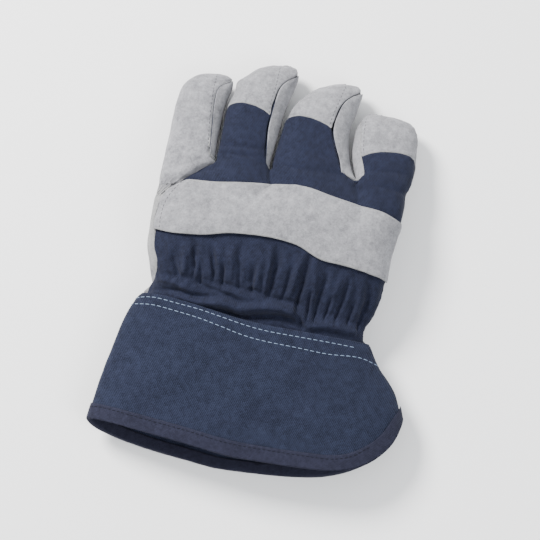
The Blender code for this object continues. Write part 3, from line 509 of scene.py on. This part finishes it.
def softLight(name, place, size, power, colour):
    light = bpy.data.lights.new(name, "AREA")
    light.shape = "DISK"
    light.size = size
    light.energy = power
    light.color = colour
    lamp = bpy.data.objects.new(name, light)
    lamp.location = place
    lamp.rotation_euler = (-Vector(place)).to_track_quat("-Z", "Y").to_euler()
    bpy.context.scene.collection.objects.link(lamp)


for name, values in studio["lights"].items():
    softLight(name, *values)
print("stage ready")

# where the cut pieces ease into shape, the same for every piece so that seams stay together

# x and y of each fingertip's outer corner, how far it is filled out in mm, and how far round it
tipCorners = [
    (-0.0411, 0.1113, 2.4, 1.4, 9.0),
    (-0.0011, 0.1220, 3.2, 1.8, 11.0),
    (0.0408, 0.1142, 3.4, 1.6, 11.0),
    (0.0808, 0.0986, 3.0, 2.8, 13.0),
]

# where seams meet at the fingers' ends: the place and its reach in mm, and the way across the seam
seamEnds = [
    ((-0.2, 124.5, 14.0), 7.0, (1.0, 0.0, 0.0)),
    ((42.8, 119.6, 12.0), 6.0, (1.0, 0.0, 0.0)),
    ((-40.6, 114.8, 13.3), 6.5, (1.0, 0.0, 0.0)),
    ((-23.0, 126.0, 9.8), 6.0, (0.0, -0.3, 0.95)),
    ((48.0, 105.3, 11.5), 5.0, (0.7, 0.0, 0.7)),
    ((17.1, 118.2, 9.8), 4.0, (0.0, -0.3, 0.95)),
]

# how far each place eases, in metres but for the first
ease = {
    "seamPull": 0.88,  # the share of the way that seams close at the fingers' ends
    "seamIn": 0.0042,  # the thumb side's seam, drawn in over the back
    "leatherOut": 0.0020,  # the leather that bulges beside it
    "cornerIn": 0.0028,  # the cuff's upper corner on the little finger's side
    "mouthOut": 0.0030,  # the palm's half of the mouth
    "cuffUp": 0.0036,  # the cuff's edge under the thumb, along the glove
    "cuffDown": 0.0034,  # and towards the floor
}


def easeInto(points):
    x, y, z = points.T
    moves = np.zeros_like(points)
    for place, reach, across in seamEnds:
        away = points - np.array(place) * 1e-3
        near = np.exp(-((away / (reach * 1e-3)) ** 2).sum(axis=1))
        moves -= ease["seamPull"] * (near * (away @ np.array(across)))[:, None] * np.array(across)
    for cornerX, cornerY, moveX, moveY, reach in tipCorners:
        near = hump(x, cornerX, reach * 1e-3) * hump(y, cornerY, reach * 1e-3) * 1e-3
        moves[:, 0] += moveX * near
        moves[:, 1] += moveY * near
    # the thumb side's seam lies on the back and the leather beside it bulges past it
    thumbSide = smooth((-0.0469 - x) / 0.018)
    above = hump(y, -0.0248, 0.0125) * smooth((z - 0.0145) / 0.007)
    beside = hump(y, -0.0244, 0.0110) * hump(z, 0.0125, 0.0055)
    moves[:, 0] += thumbSide * (ease["seamIn"] * above - ease["leatherOut"] * beside)
    # the cuff's upper corner on the little finger's side and what lies in it are drawn in
    corner = smooth((x - 0.0564) / 0.012) * smooth((y + 0.0692) / 0.016) * smooth((-0.0224 - y) / 0.012)
    moves[:, 0] -= ease["cornerIn"] * corner
    # the palm's half of the mouth reaches further out on the thumb's side
    palmSide = smooth((0.016 - z) / 0.008) * smooth((-0.0809 - y) / 0.03)
    moves[:, 1] -= ease["mouthOut"] * palmSide * hump(x, -0.0625, 0.05)
    return moves


def easeCuff(points):
    # its edge under the thumb also reaches below the leather that it's sewn to
    x, y, z = points.T
    moves = easeInto(points)
    under = smooth((0.018 - z) / 0.006) * smooth((-0.0128 - x) / 0.004) * smooth((y + 0.0556) / 0.011)
    moves[:, 1] += ease["cuffUp"] * under
    moves[:, 2] -= np.minimum(ease["cuffDown"], np.maximum(z - 0.0004, 0)) * under
    return moves


# the palm, with the fingers' fronts and the heel that laps the cuff

# x and y of each end in metres, height and half width in mm
palmFolds = [
    (-0.0411, 0.0498, -0.0723, 0.0400, -0.9, 2.2),
    (-0.0138, 0.0615, 0.0252, 0.0527, -0.8, 2.0),
    (0.0564, 0.0225, 0.0818, 0.0186, -0.6, 2.4),
    (0.0545, -0.0068, 0.0818, -0.0146, -0.5, 3.0),
    (-0.0723, -0.0146, -0.0625, -0.0224, -0.7, 2.0),
    (-0.0752, 0.0225, -0.0645, 0.0127, -0.4, 2.5),
    (-0.0684, 0.0498, -0.0489, 0.0596, -0.5, 2.0),
    (-0.0723, 0.0674, -0.0547, 0.0732, -0.25, 1.6),
]

palmShape = {
    "levels": 3,  # of subdivision
    "rollDepth": 0.55,  # mm that its seams go under
    "rollWidth": 1.6,  # mm beside the seams over which they do
    "waves": [(0.35, 34, 3), (0.12, 9, 4)],
    "pucker": (0.22, 4.2, 5, 4.5),
    "folds": palmFolds,
    "shift": easeInto,
    "materials": (palmLeather, palmLeather, rawEdge),  # outside, inside and edges
    "slot": "leather",
}
palm = dress("palm_leather", "palmPiece", palmShape)

thumbShape = {
    "levels": 3,
    "rollDepth": 0.3,
    "rollWidth": 2.5,
    "waves": [(0.4, 28, 11), (0.12, 8, 12)],
    "shift": easeInto,
    "materials": (palmLeather, lining, rawEdge),
    "slot": "leather",
}
thumb = dress("thumb", "thumbPiece", thumbShape)

# the cloth back, gathered at the wrist

# rows as in palmFolds: the folds that the elastic pulls in, and the cloth standing up between them
gathers = [
    (-0.0596, -0.0029, -0.0557, -0.0175, -1.8, 1.5),
    (-0.0469, 0.0039, -0.0450, -0.0156, -2.8, 1.5),
    (-0.0411, -0.0087, -0.0401, -0.0195, -1.5, 1.1),
    (-0.0362, 0.0049, -0.0323, -0.0165, -2.1, 1.4),
    (-0.0274, -0.0058, -0.0255, -0.0204, -2.2, 1.4),
    (-0.0167, 0.0049, -0.0157, -0.0185, -2.0, 1.5),
    (-0.0089, -0.0058, -0.0079, -0.0214, -2.1, 1.3),
    (-0.0011, -0.0097, -0.0011, -0.0204, -1.2, 1.1),
    (0.0067, 0.0078, 0.0038, -0.0195, -3.0, 1.9),
    (0.0155, -0.0029, 0.0116, -0.0214, -1.9, 1.3),
    (0.0262, 0.0059, 0.0213, -0.0273, -3.0, 1.6),
    (0.0311, -0.0136, 0.0281, -0.0302, -2.0, 1.1),
    (0.0379, -0.0019, 0.0340, -0.0302, -2.3, 1.3),
    (0.0437, -0.0165, 0.0408, -0.0312, -2.0, 1.1),
    (0.0515, -0.0048, 0.0476, -0.0312, -2.3, 1.3),
    (0.0574, -0.0185, 0.0554, -0.0322, -1.8, 1.1),
    (0.0652, -0.0078, 0.0632, -0.0312, -2.0, 1.4),
]
ridges = [
    (-0.0528, 0.0010, -0.0508, -0.0136, 1.5, 2.4),
    (-0.0304, 0.0010, -0.0294, -0.0136, 1.0, 1.8),
    (-0.0216, 0.0030, -0.0206, -0.0146, 1.3, 2.0),
    (-0.0050, 0.0039, -0.0050, -0.0165, 1.2, 2.0),
    (0.0008, 0.0049, 0.0008, -0.0146, 1.0, 1.7),
    (0.0203, 0.0049, 0.0164, -0.0185, 1.7, 2.0),
    (0.0311, -0.0029, 0.0311, -0.0224, 1.1, 1.5),
    (0.0447, -0.0048, 0.0437, -0.0244, 1.2, 1.6),
    (0.0603, -0.0068, 0.0593, -0.0263, 1.1, 1.6),
]
puffs = [
    # along the elastic
    (-0.0645, -0.0161, -0.0391, -0.0190, -0.9, 1.6),
    (-0.0372, -0.0180, -0.0099, -0.0209, -0.9, 1.6),
    (-0.0079, -0.0209, 0.0233, -0.0239, -1.3, 1.7),
    (0.0252, -0.0263, 0.0662, -0.0302, -0.8, 1.8),
    # between the elastic and the cuff
    (-0.0664, -0.0204, -0.0450, -0.0244, 1.6, 2.0),
    (-0.0645, -0.0263, -0.0313, -0.0268, -2.0, 1.3),
    (-0.0547, -0.0297, -0.0274, -0.0317, 1.4, 1.7),
    (-0.0411, -0.0195, -0.0157, -0.0268, -2.2, 1.3),
    (-0.0274, -0.0229, -0.0040, -0.0248, 1.6, 1.8),
    (-0.0177, -0.0273, -0.0001, -0.0278, -1.2, 1.2),
    (-0.0294, -0.0302, 0.0223, -0.0302, 4.8, 3.3),
    (-0.0255, -0.0355, 0.0203, -0.0364, -3.4, 1.7),
    (0.0213, -0.0283, 0.0272, -0.0380, -2.8, 1.6),
    (0.0301, -0.0351, 0.0603, -0.0361, 3.0, 2.4),
    (0.0291, -0.0400, 0.0623, -0.0409, -2.2, 1.5),
]
# creases across the fingers
fingerFolds = [
    (-0.0391, 0.0703, -0.0138, 0.0713, -0.7, 1.4),
    (-0.0372, 0.0649, -0.0177, 0.0654, -0.6, 1.4),
    (-0.0352, 0.0810, -0.0157, 0.0839, -0.25, 1.6),
    (-0.0001, 0.0752, 0.0291, 0.0722, -0.35, 2.0),
    (0.0057, 0.0615, 0.0408, 0.0596, -0.3, 2.4),
    (0.0564, 0.0674, 0.0779, 0.0683, -0.4, 1.8),
    (0.0603, 0.0576, 0.0798, 0.0556, -0.7, 2.0),
    (-0.0528, 0.0498, -0.0391, 0.0556, -0.4, 2.0),
]


def backDetail(points, lift):
    # the wrist's gathers and puffs, and the plain cloth that is tucked under the cuff
    y = points[:, 1]
    tucked = smooth((y + 0.0419) / 0.008)
    wrist = smooth((y + 0.0283) / 0.010) * smooth((0.0088 - y) / 0.010)
    fine = 0.0002 * wrist * ripples(points * np.array([1.0, 0.25, 1.0]), 0.005, 24)
    pinched = foldHeights(points, gathers, 0.6, 0.0011) + foldHeights(points, ridges, 0.4, 0.0011)
    return (lift + fine + pinched + foldHeights(points, puffs, 0, 0.0012)) * tucked


backShape = {
    "levels": 3,
    "keep": 0.97,  # of its triangles
    "rollDepth": 0.5,
    "rollWidth": 1.4,
    "waves": [(0.3, 22, 21), (0.12, 7, 22)],
    "pucker": (0.18, 3.8, 23, 4),
    "folds": fingerFolds,
    "detail": backDetail,
    "shift": easeInto,
    "materials": (navyCloth, lining, navyCloth),
    "slot": "cloth",
}
back = dress("back_cloth", "backPiece", backShape)

# the fingertips, and the strips between the fingers
tipShape = {
    "levels": 3,
    "rollDepth": 0.35,
    "rollWidth": 1.2,
    "waves": [(0.25, 16, 31), (0.1, 6, 32)],
    "pucker": (0.2, 3.6, 33, 4),
    "shift": easeInto,
    "materials": (backLeather, lining, rawEdge),
    "slot": "leather",
}
tips = [dress("fingertip_" + finger, finger + "Tip", tipShape) for finger in ("middle", "ring", "little")]

betweens = ("index_middle", "middle_ring", "ring_little")
sides = [dress("fourchette_" + between, "side_" + between, tipShape) for between in betweens]


def easeStrap(points):
    # its end on the little finger's side lies close on the cloth
    moves = np.zeros_like(points)
    moves[:, 0] = -0.0013 * smooth((points[:, 0] - 0.064) / 0.014)
    return moves


strapShape = {
    "levels": 3,
    "rollDepth": 0.35,
    "rollWidth": 1.2,
    "waves": [(0.4, 30, 41), (0.15, 9, 42)],
    "pucker": (0.5, 13, 43, 5),
    "shift": easeStrap,
    "materials": (backLeather, rawEdge, rawEdge),
    "slot": "leather",
}
strap = dress("knuckle_strap", "strapPiece", strapShape)

# the safety cuff and the tape round its mouth

cuffFolds = [
    (-0.0723, -0.0556, -0.0235, -0.0751, -0.35, 9.0),
    (0.0057, -0.0653, 0.0642, -0.0946, 0.4, 10.0),
    (0.0779, -0.0595, 0.0896, -0.0770, -0.5, 3.0),
]

cuffShape = {
    "levels": 3,
    "rollDepth": 0.3,
    "rollWidth": 1.0,
    "waves": [(0.5, 55, 51), (0.1, 10, 52)],
    "folds": cuffFolds,
    "shift": easeCuff,
    "materials": (cuffCloth, cuffCloth, cuffCloth),
    "slot": "cloth",
}
cuff = dress("cuff", "cuffPiece", cuffShape)

cuffTop = surfaceOf(cuff)
tapeFit = {
    "near": 2.4,  # mm from the cuff, up to which a point is on the tape's inner face
    "gap": 0.3,  # mm that the inner face stays off the cuff
    "innerShare": 0.42,  # of an inner point's distance that is left
    "thickness": 1.2,  # mm from the cuff to the outer face
    "outerShare": 0.25,
}


def tapeShift(points):
    # draws the tape close round the cuff's edge, its outer face a thickness further out than its inner one
    moves = easeInto(points)
    for index, point in enumerate(points + moves):
        place, _, _, distance = cuffTop.find_nearest(Vector(point))
        if place is None or distance < 1e-6:
            continue
        beyond = distance - tapeFit["near"] * 1e-3
        if beyond < 0:
            off = tapeFit["gap"] * 1e-3
            close = off + tapeFit["innerShare"] * max(distance - off, 0.0)
        else:
            close = tapeFit["thickness"] * 1e-3 + tapeFit["outerShare"] * beyond
        moves[index] += (np.array(place) - point) * (1 - min(close, distance) / distance)
    return moves


tapeShape = {
    "levels": 2,
    "hollow": False,
    "rollDepth": 0.0,
    "rollWidth": 1.0,
    "waves": [(0.12, 6, 61)],
    "shift": tapeShift,
    "materials": (hemCloth, hemCloth, hemCloth),
    "slot": "hem",
}
tape = dress("cuff_binding", "tapePiece", tapeShape)

# stitches, laid along lines on the finished surfaces

def stitchTree():
    tree, entry, leave = newGroup(
        "stitchRow",
        [("Geometry", "NodeSocketGeometry", None), ("Pitch", "NodeSocketFloat", 0.003),
         ("Stitch Length", "NodeSocketFloat", 0.002), ("Thread Radius", "NodeSocketFloat", 0.0003),
         ("Arch", "NodeSocketFloat", 0.0003), ("Thread", "NodeSocketMaterial", None)],
        [("Geometry", "NodeSocketGeometry")],
        "GeometryNodeTree",
    )
    nodes, links = tree.nodes, tree.links
    toCurve = nodes.new("GeometryNodeMeshToCurve")
    links.new(entry.outputs["Geometry"], toCurve.inputs["Mesh"])
    resample = nodes.new("GeometryNodeResampleCurve")
    resample.mode = "LENGTH"
    links.new(toCurve.outputs["Curve"], resample.inputs["Curve"])
    links.new(entry.outputs["Pitch"], resample.inputs["Length"])
    # one stitch: a short arched thread, its ends going down into the material
    ends = []
    for way in (-0.5, 0.5):
        point = nodes.new("ShaderNodeCombineXYZ")
        links.new(mathNode(tree, "MULTIPLY", entry.outputs["Stitch Length"], way), point.inputs["X"])
        links.new(mathNode(tree, "MULTIPLY", entry.outputs["Thread Radius"], -1.0), point.inputs["Z"])
        ends.append(point.outputs[0])
    arch = nodes.new("ShaderNodeCombineXYZ")
    links.new(entry.outputs["Arch"], arch.inputs["Z"])
    bow = nodes.new("GeometryNodeCurveQuadraticBezier")
    bow.inputs["Resolution"].default_value = 6
    links.new(ends[0], bow.inputs["Start"])
    links.new(arch.outputs[0], bow.inputs["Middle"])
    links.new(ends[1], bow.inputs["End"])
    ring = nodes.new("GeometryNodeCurvePrimitiveCircle")
    ring.inputs["Resolution"].default_value = 8
    links.new(entry.outputs["Thread Radius"], ring.inputs["Radius"])
    tube = nodes.new("GeometryNodeCurveToMesh")
    links.new(bow.outputs[0], tube.inputs["Curve"])
    links.new(ring.outputs[0], tube.inputs["Profile Curve"])
    tube.inputs["Fill Caps"].default_value = True
    facing = nodes.new("GeometryNodeInputNamedAttribute")
    facing.data_type = "FLOAT_VECTOR"
    facing.inputs["Name"].default_value = "surfaceNormal"
    tangent = nodes.new("GeometryNodeInputTangent")
    turnUp = nodes.new("FunctionNodeAlignRotationToVector")
    turnUp.axis = "Z"
    links.new(facing.outputs["Attribute"], turnUp.inputs["Vector"])
    turnAlong = nodes.new("FunctionNodeAlignRotationToVector")
    turnAlong.axis = "X"
    turnAlong.pivot_axis = "Z"
    links.new(turnUp.outputs["Rotation"], turnAlong.inputs["Rotation"])
    links.new(tangent.outputs["Tangent"], turnAlong.inputs["Vector"])
    place = nodes.new("GeometryNodeInstanceOnPoints")
    links.new(resample.outputs["Curve"], place.inputs["Points"])
    links.new(tube.outputs["Mesh"], place.inputs["Instance"])
    links.new(turnAlong.outputs["Rotation"], place.inputs["Rotation"])
    real = nodes.new("GeometryNodeRealizeInstances")
    links.new(place.outputs["Instances"], real.inputs["Geometry"])
    finish = nodes.new("GeometryNodeSetMaterial")
    links.new(real.outputs["Geometry"], finish.inputs["Geometry"])
    links.new(entry.outputs["Thread"], finish.inputs["Material"])
    links.new(finish.outputs["Geometry"], leave.inputs["Geometry"])
    return tree


def alongLine(points, pitch):
    # a smooth line through the points, in short steps about as long as the pitch
    points = np.array(points, float)
    padded = np.vstack([2 * points[0] - points[1], points, 2 * points[-1] - points[-2]])
    fine = []
    for a, b, c, d in zip(padded, padded[1:], padded[2:], padded[3:]):
        for t in np.linspace(0, 1, 12, endpoint=False):
            bend = (2 * a - 5 * b + 4 * c - d) * t**2
            twist = (3 * b - a - 3 * c + d) * t**3
            fine.append(0.5 * (2 * b + (c - a) * t + bend + twist))
    fine.append(points[-1])
    fine = np.array(fine)
    lengths = np.concatenate([[0], np.cumsum(np.linalg.norm(np.diff(fine, axis=0), axis=1))])
    steps = np.linspace(0, lengths[-1], max(2, int(lengths[-1] / pitch)))
    return np.column_stack([np.interp(steps, lengths, fine[:, i]) for i in range(fine.shape[1])])


sewing = {
    "step": 0.0008,  # metres between the places where a line is laid onto its surface
    "above": 0.08,  # the heights from which it is dropped or raised
    "below": -0.01,
}
rowTree = stitchTree()
rowItems = rowTree.interface.items_tree
rowSockets = {item.name: item.identifier for item in rowItems if item.in_out == "INPUT"}


def stitchRow(name, line, surface, values, thread, fromBelow=False):
    # drops the line onto the surface, or raises it from below the glove, and sews along it
    height, down = (sewing["below"], 1) if fromBelow else (sewing["above"], -1)
    verts, facing = [], []
    for x, y in alongLine(line, sewing["step"]):
        place, normal, _, _ = surface.ray_cast(Vector((x, y, height)), Vector((0, 0, down)))
        if place is not None:
            verts.append(place)
            facing.append(normal if normal.z * down < 0 else -normal)
    mesh = bpy.data.meshes.new(name)
    mesh.from_pydata(verts, [(i, i + 1) for i in range(len(verts) - 1)], [])
    up = np.array([tuple(normal) for normal in facing])
    smoothUp = np.array([up[max(0, i - 3): i + 4].mean(axis=0) for i in range(len(up))])
    layer = mesh.attributes.new("surfaceNormal", "FLOAT_VECTOR", "POINT")
    layer.data.foreach_set("vector", smoothUp.ravel())
    holder = bpy.data.objects.new(name, mesh)
    bpy.context.scene.collection.objects.link(holder)
    modifier = holder.modifiers.new("Stitches", "NODES")
    modifier.node_group = rowTree
    for label, value in values.items():
        modifier[rowSockets[label]] = value
    modifier[rowSockets["Thread"]] = thread
    done = holder.evaluated_get(bpy.context.evaluated_depsgraph_get())
    shape = bpy.data.meshes.new_from_object(done)
    shape.name = name + "Row"
    bpy.data.objects.remove(holder)
    row = bpy.data.objects.new(name, shape)
    bpy.context.scene.collection.objects.link(row)
    shape.shade_smooth()
    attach(row, "root")
    print(name, len(shape.polygons), "faces")


cuffRows = {"Pitch": 0.0038, "Stitch Length": 0.0026, "Thread Radius": 0.00023, "Arch": 0.00045}
seamRows = {"Pitch": 0.0026, "Stitch Length": 0.0017, "Thread Radius": 0.00018, "Arch": 0.0003}
hemRow = {"Pitch": 0.0030, "Stitch Length": 0.0022, "Thread Radius": 0.00020, "Arch": 0.0004}
tapeTop, strapTop, palmTop = surfaceOf(tape), surfaceOf(strap), surfaceOf(palm)
leatherTop = surfaceOf(palm, *tips, *sides)
# x and y along each row, all in metres
lines = {
    "cuffStitchesUpper": [
        (-0.0786, -0.0331), (-0.0674, -0.0322), (-0.0528, -0.0341), (-0.0382, -0.0361), (-0.0235, -0.0390),
        (-0.0089, -0.0419), (0.0057, -0.0437), (0.0252, -0.0444), (0.0447, -0.0448), (0.0593, -0.0453),
    ],
    "cuffStitchesLower": [
        (-0.0811, -0.0375), (-0.0674, -0.0370), (-0.0528, -0.0390), (-0.0382, -0.0414), (-0.0235, -0.0448),
        (-0.0089, -0.0483), (0.0057, -0.0502), (0.0252, -0.0512), (0.0447, -0.0522), (0.0642, -0.0512),
        (0.0759, -0.0536),
    ],
    "hemStitches": [
        (-0.0957, -0.1044), (-0.0869, -0.1048), (-0.0625, -0.1083), (-0.0333, -0.1122), (-0.0089, -0.1159),
        (0.0155, -0.1168), (0.0398, -0.1170), (0.0564, -0.1164), (0.0681, -0.1131), (0.0779, -0.1063),
    ],
    "indexStitches": [
        (-0.0494, 0.1161), (-0.0499, 0.1064), (-0.0497, 0.0908), (-0.0487, 0.0761), (-0.0474, 0.0654),
    ],
    "middleStitches": [(-0.0101, 0.1269), (-0.0109, 0.1152), (-0.0126, 0.1025), (-0.0128, 0.0966)],
    "ringStitches": [(0.0330, 0.1210), (0.0311, 0.1132), (0.0277, 0.1005), (0.0267, 0.0947)],
    "littleStitches": [(0.0491, 0.1025), (0.0489, 0.0927), (0.0498, 0.0810)],
    "strapStitches": [
        (-0.0611, 0.0410), (-0.0664, 0.0332), (-0.0694, 0.0254), (-0.0703, 0.0186), (-0.0703, 0.0117),
    ],
    "palmCuffStitchesUpper": [(-0.0801, -0.0380), (-0.0625, -0.0390), (-0.0382, -0.0400), (-0.0177, -0.0390)],
    "palmCuffStitchesLower": [(-0.0811, -0.0434), (-0.0625, -0.0429), (-0.0382, -0.0434), (-0.0177, -0.0424)],
    "heelStitchesUpper": [
        (-0.0060, -0.0468), (0.0155, -0.0468), (0.0398, -0.0487), (0.0642, -0.0507), (0.0779, -0.0536),
    ],
    "heelStitchesLower": [
        (-0.0079, -0.0517), (0.0155, -0.0526), (0.0398, -0.0541), (0.0642, -0.0561), (0.0837, -0.0604),
    ],
}
for name in ("cuffStitchesUpper", "cuffStitchesLower"):
    stitchRow(name, lines[name], cuffTop, cuffRows, paleThread)
stitchRow("hemStitches", lines["hemStitches"], tapeTop, hemRow, navyThread)
for name in ("indexStitches", "middleStitches", "ringStitches", "littleStitches"):
    stitchRow(name, lines[name], leatherTop, seamRows, greyThread)
stitchRow("strapStitches", lines["strapStitches"], strapTop, seamRows, greyThread)
for name in ("palmCuffStitchesUpper", "palmCuffStitchesLower"):
    stitchRow(name, lines[name], cuffTop, cuffRows, paleThread, True)
for name in ("heelStitchesUpper", "heelStitchesLower"):
    stitchRow(name, lines[name], palmTop, seamRows, greyThread, True)
print("stitched")
